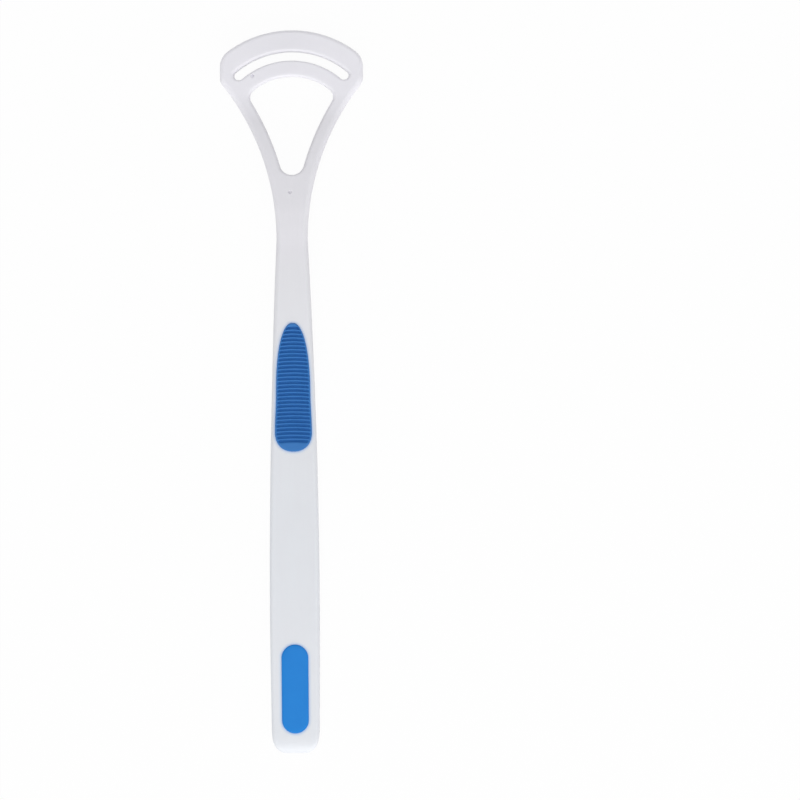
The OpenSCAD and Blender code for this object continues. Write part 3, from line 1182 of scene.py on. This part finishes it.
    def dress(self, grip: bpy.types.Object) -> None:
        """Gives the grip its material and its place in the part."""
        coat(grip, self.finish.material())
        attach(grip, "root")
        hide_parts("thumb_grip")


@dataclass
class EndPad:
    """Plain soft pad with round ends near the tail."""

    view: SideView
    finish: SoftPlastic = SoftPlastic("blue_satin_pad", Touch.SATIN, srgb(18, 128, 212), srgb(12, 120, 205))
    low: float = 8.7
    high: float = 24.6
    radius: float = 3.4
    seat_depth: float = 1.2
    gap: float = 0.01
    crown: tuple[Point, ...] = ((0.1, 0.12), (0.18, 0.07), (0.3, 0.05), (0.6, 0.04), (1.0, 0.02))
    row_count: int = 8
    sharp_angle: float = 60.0

    def outline(self, name: str, radius: float, depth: float) -> Bench:
        """Draws the pad's outline.

        Args:
            name: Name of the object.
            radius: Radius of the round ends.
            depth: Depth of the outline below the surface.

        Returns:
            The bench with the filled outline.
        """
        bench = Bench(name, radius, self.low, -depth)
        bench.line_to(radius, self.high)
        bench.arc((0.0, self.high), 180.0)
        bench.line_to(-radius, self.low)
        bench.arc((0.0, self.low), 180.0)
        bench.close()
        return bench

    def seat(self) -> bpy.types.Object:
        """Tool that cuts the pad's seat, laid on the surface."""
        bench = self.outline("pad_seat", self.radius + self.gap, self.seat_depth)
        bench.thicken(self.seat_depth + TOOL_REACH)
        return self.view.lay(bench)

    def build(self) -> bpy.types.Object:
        """Models the pad: a plate whose top is inset in rising steps.

        Returns:
            The pad in the frame.
        """
        bench = self.outline("end_pad_plain", self.radius, self.seat_depth - self.gap)
        bench.thicken(self.seat_depth - self.gap)
        bench.pick("faces", lambda face: face.normal.z > 0.5 and face.verts[0].co.z > -0.1)
        for inset, rise in self.crown:
            bpy.ops.mesh.inset(thickness=inset, depth=rise, use_boundary=True, use_even_offset=True)
        bench.cut_rows([mix(self.low, self.high, index / self.row_count) for index in range(1, self.row_count)])
        pad = self.view.lay(bench)
        self.view.settle(pad, self.sharp_angle)
        apply_modifier(pad, "WEIGHTED_NORMAL", keep_sharp=True, weight=50)
        return pad

    def dress(self, pad: bpy.types.Object) -> None:
        """Gives the pad its material and its place in the part."""
        coat(pad, self.finish.material())
        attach(pad, "root")
        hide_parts("end_pad")


# Studio

@dataclass
class Studio:
    """White floor, the camera that looks straight down, and soft lamps: place, size and power of each."""

    camera_place: Place = (0.0272, -0.0024, 0.655)
    camera_roll: float = -0.40
    sensor: float = 36.0
    lens: float = 114.7
    nearest: float = 0.01
    world_level: float = 0.55
    lamps: tuple[tuple[float, float, float, float, float], ...] = (
        (0.0, -1.6, 0.62, 1.4, 12.0),
        (0.5, -0.5, 0.25, 0.5, 0.8),
        (-0.75, -0.1, 0.3, 0.7, 0.3),
        (0.05, -0.1, 1.1, 0.8, 2.95),
    )
    floor_size: float = 6.0
    floor_drop: float = 0.00005
    floor_colour: Colour = (0.9, 0.9, 0.9, 1.0)
    glow_share: float = 0.95

    def floor(self) -> None:
        """Lays the floor: white for the camera, but with some of the object's shadow left."""
        deselect()
        bpy.ops.mesh.primitive_plane_add(size=self.floor_size, location=(0.0, 0.0, -self.floor_drop))
        floor = bpy.context.object
        floor.name = "studio_floor"
        graph = Graph(bpy.data.materials.new("floor_white"))
        seen = graph.background_share() * self.glow_share
        matt = graph.node("ShaderNodeBsdfDiffuse", {}, {"Color": self.floor_colour})
        glow = graph.node("ShaderNodeEmission", {}, {"Color": WHITE, "Strength": 1.0})
        coat(floor, graph.finish(graph.node("ShaderNodeMixShader", {}, {0: seen, 1: matt, 2: glow})))

    def light(self) -> None:
        """Adds the soft lamps and the even light all round."""
        for index, (x, y, z, size, power) in enumerate(self.lamps):
            deselect()
            bpy.ops.object.light_add(type="AREA", location=(x, y, z))
            lamp = bpy.context.object
            lamp.name = f"softbox_{index}"
            lamp.data.shape = "SQUARE"
            lamp.data.size = size
            lamp.data.energy = power
            lamp.rotation_euler = Vector((-x, -y, -z)).to_track_quat("-Z", "Y").to_euler()
        graph = Graph(bpy.data.worlds.new("even_light"), "ShaderNodeOutputWorld")
        levels = {"Value": graph.background_share(), "To Min": self.world_level}
        level = graph.node("ShaderNodeMapRange", {}, levels)
        background = graph.node("ShaderNodeBackground", {}, {"Color": WHITE, "Strength": level})
        bpy.context.scene.world = graph.finish(background)

    def camera(self) -> None:
        """Places the camera at the photo's viewing angle."""
        deselect()
        turn = (0.0, 0.0, math.radians(self.camera_roll))
        bpy.ops.object.camera_add(location=self.camera_place, rotation=turn)
        camera = bpy.context.object
        camera.name = "photo_camera"
        camera.data.sensor_width = self.sensor
        camera.data.lens = self.lens
        camera.data.clip_start = self.nearest
        bpy.context.scene.camera = camera

    def build(self) -> None:
        """Sets up the floor, the lamps, the camera and the view."""
        self.floor()
        self.light()
        self.camera()
        bpy.context.scene.view_settings.view_transform = "Standard"


def main() -> None:
    """Builds the studio and the scraper around the frame, and reports each piece."""
    logging.basicConfig(level=logging.INFO, format="%(name)s %(message)s")
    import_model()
    Studio().build()
    view = SideView()
    body, grip, pad = ScraperBody(view), ThumbGrip(view), EndPad(view)
    pieces = (body.build([grip.seat(), pad.seat()]), grip.build(), pad.build())
    for maker, piece in zip((body, grip, pad), pieces):
        maker.dress(piece)
        LOG.info("%s: %d faces", piece.name, len(piece.data.polygons))


if __name__ == "__main__":
    main()
